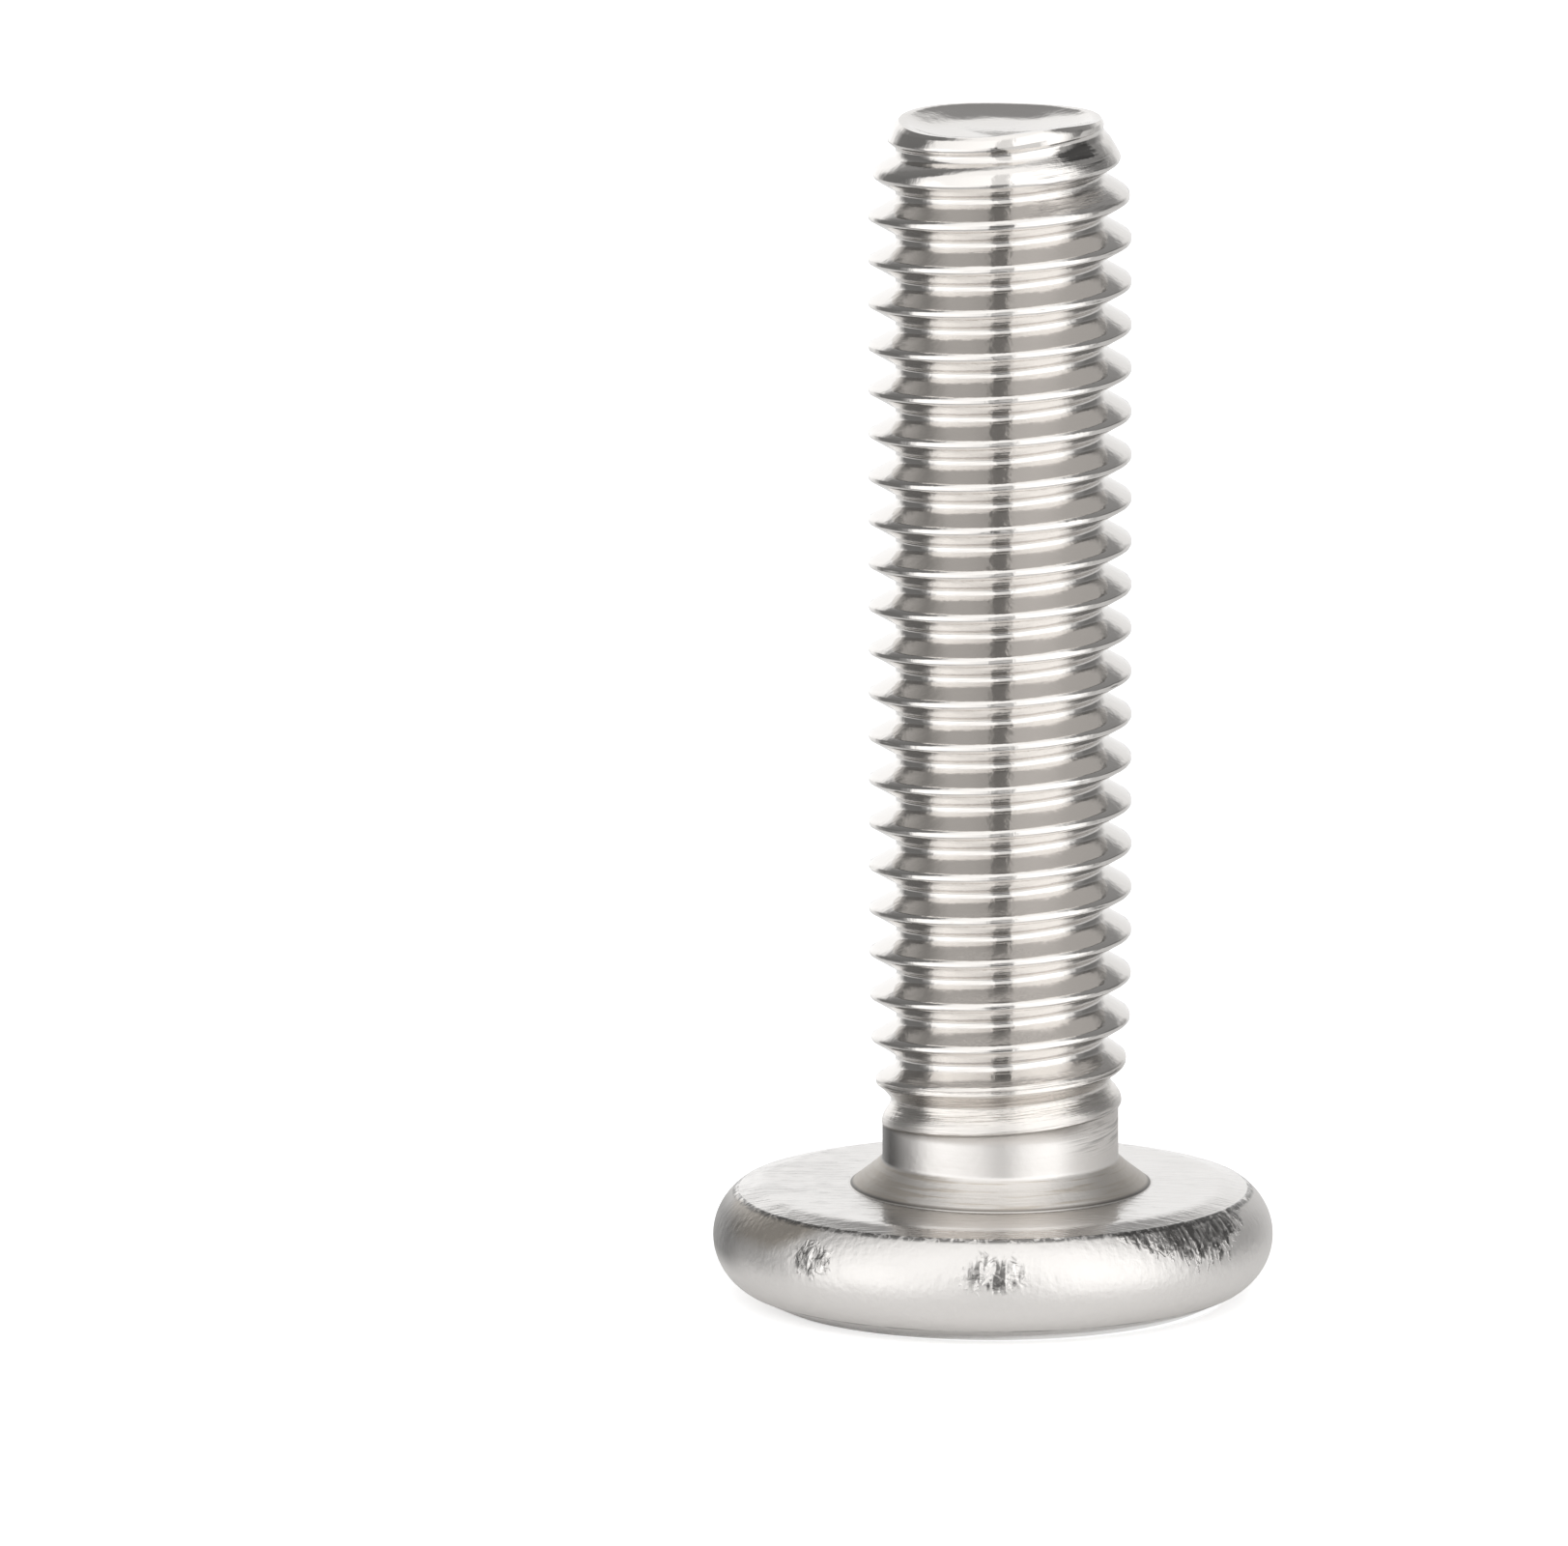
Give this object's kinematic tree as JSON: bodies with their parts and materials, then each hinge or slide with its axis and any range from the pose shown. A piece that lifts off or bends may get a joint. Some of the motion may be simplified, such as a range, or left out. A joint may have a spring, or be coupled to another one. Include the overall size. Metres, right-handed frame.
{
  "type": "machine screw",
  "caption": "Nickel-plated machine screw with a wide flat chamfered head, a cross recess, a short plain neck and a rolled right-hand metric thread.",
  "frame": {"origin": "centre of the head's flat outer face, which the screw stands on", "axes": "+Z from the head to the tip along the shank, +X across the head; the shank's axis is the Z axis"},
  "size_m": [0.0128, 0.0128, 0.0272],
  "materials": {
    "nickel": "bright nickel plate on steel"
  },
  "bodies": {
    "root": {"screw": "nickel"}
  },
  "joints": []
}
